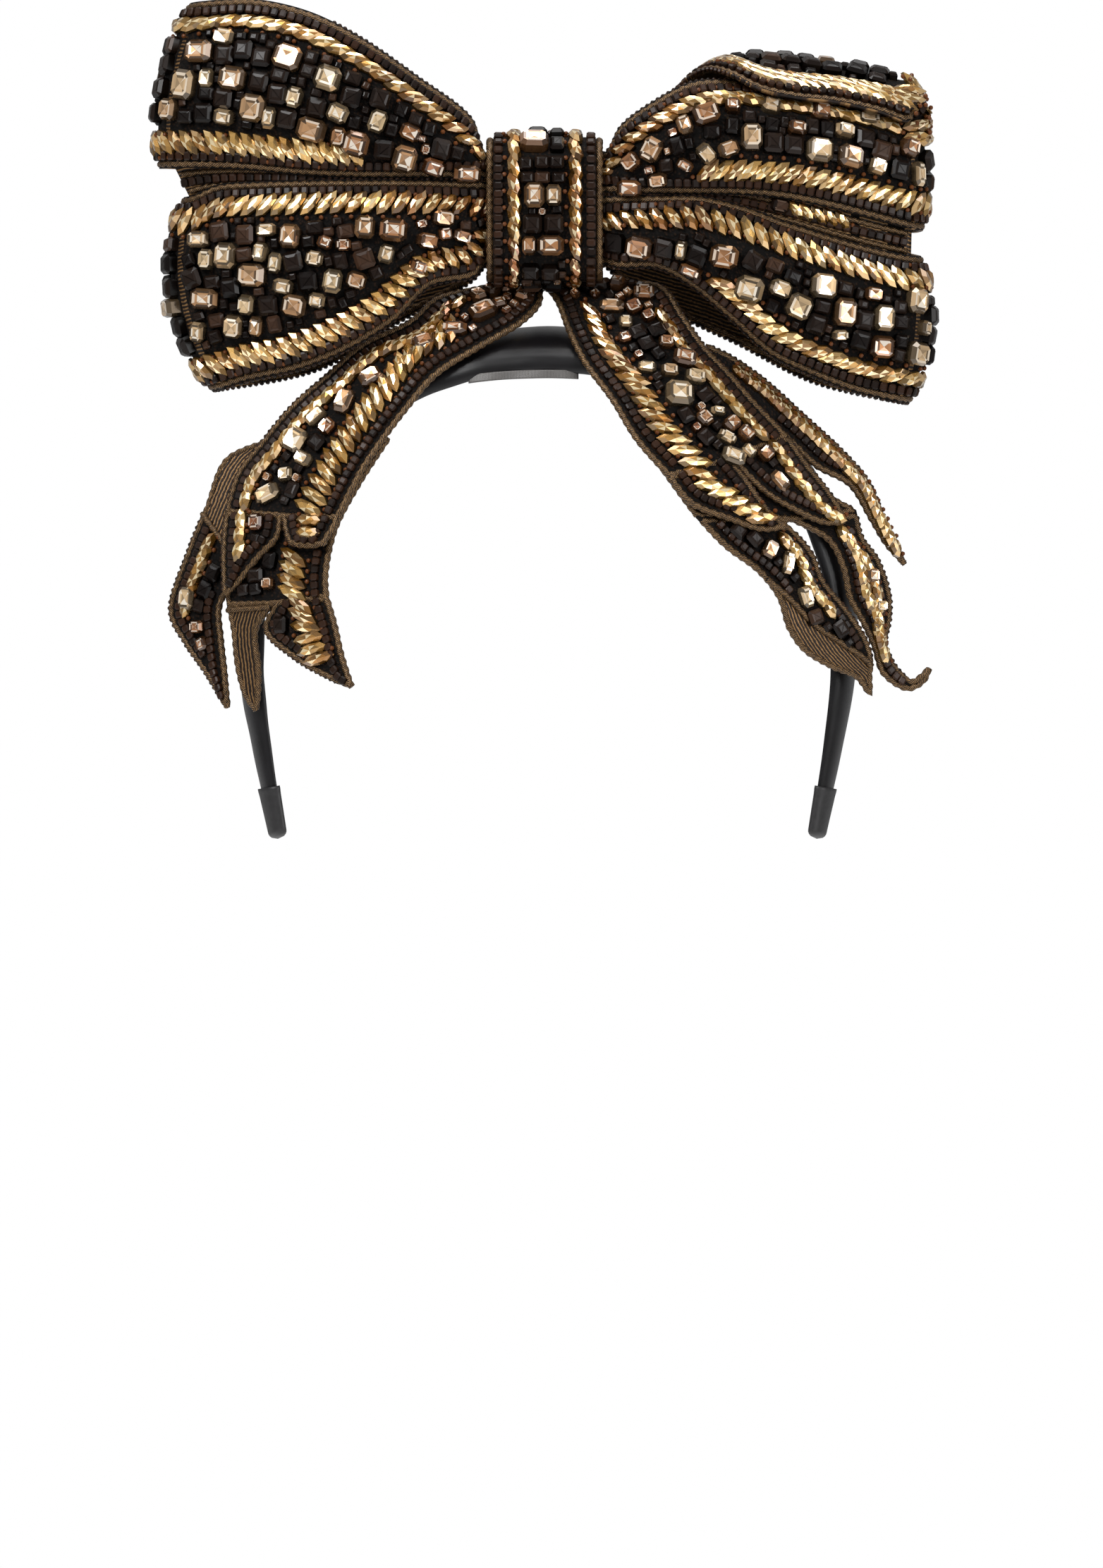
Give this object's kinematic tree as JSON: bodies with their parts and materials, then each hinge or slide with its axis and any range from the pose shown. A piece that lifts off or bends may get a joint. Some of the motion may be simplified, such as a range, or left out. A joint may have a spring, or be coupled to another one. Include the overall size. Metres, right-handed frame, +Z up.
{
  "type": "diadem: a headband that carries a large jewelled bow",
  "caption": "Rigid satin-covered headband carrying a large looped bow of stone-covered ribbon with a wrapped knot and draped, leaf-cut tails.",
  "frame": {"origin": "middle of the underside of the crown, where the band sits on the head", "axes": "+X to the right as the bow is looked at, +Y to the back of the wearer's head, +Z up"},
  "size_m": [0.2034, 0.0482, 0.2193],
  "materials": {
    "band_satin": "black satin stretched over a rigid core, smooth with a soft sheen",
    "tip_cloth": "black satin cup glued over the end of the band",
    "label_metal": "silver-grey satin-finished tab, left bare",
    "paved_ribbon": "embroidered ribbon covered with faceted champagne, black and gold glass stones and dark beads, with a plain bronze lame reverse",
    "paved_ribbon_dark": "embroidered ribbon covered with faceted brown, peach, black and gold glass stones and dark beads",
    "metallic_piping": "twisted bronze metallic cord"
  },
  "bodies": {
    "root": {"headband": "band_satin", "tip_cover_left": "tip_cloth", "tip_cover_right": "tip_cloth", "label": "label_metal", "loop_upper_left": "paved_ribbon", "loop_upper_left_piping_top": "metallic_piping", "loop_upper_left_piping_low": "metallic_piping", "loop_lower_left": "paved_ribbon", "loop_lower_left_piping_top": "metallic_piping", "loop_lower_left_piping_low": "metallic_piping", "loop_upper_right": "paved_ribbon", "loop_upper_right_piping_top": "metallic_piping", "loop_upper_right_piping_low": "metallic_piping", "loop_lower_right": "paved_ribbon", "loop_lower_right_piping_top": "metallic_piping", "loop_lower_right_piping_low": "metallic_piping", "knot_wrap": "paved_ribbon_dark", "knot_piping_left": "metallic_piping", "knot_piping_right": "metallic_piping", "tail_left_front": "paved_ribbon", "tail_left_middle": "paved_ribbon", "tail_left_back": "paved_ribbon", "tail_right_front": "paved_ribbon", "tail_right_outer": "paved_ribbon", "tail_right_back": "paved_ribbon"}
  },
  "joints": []
}
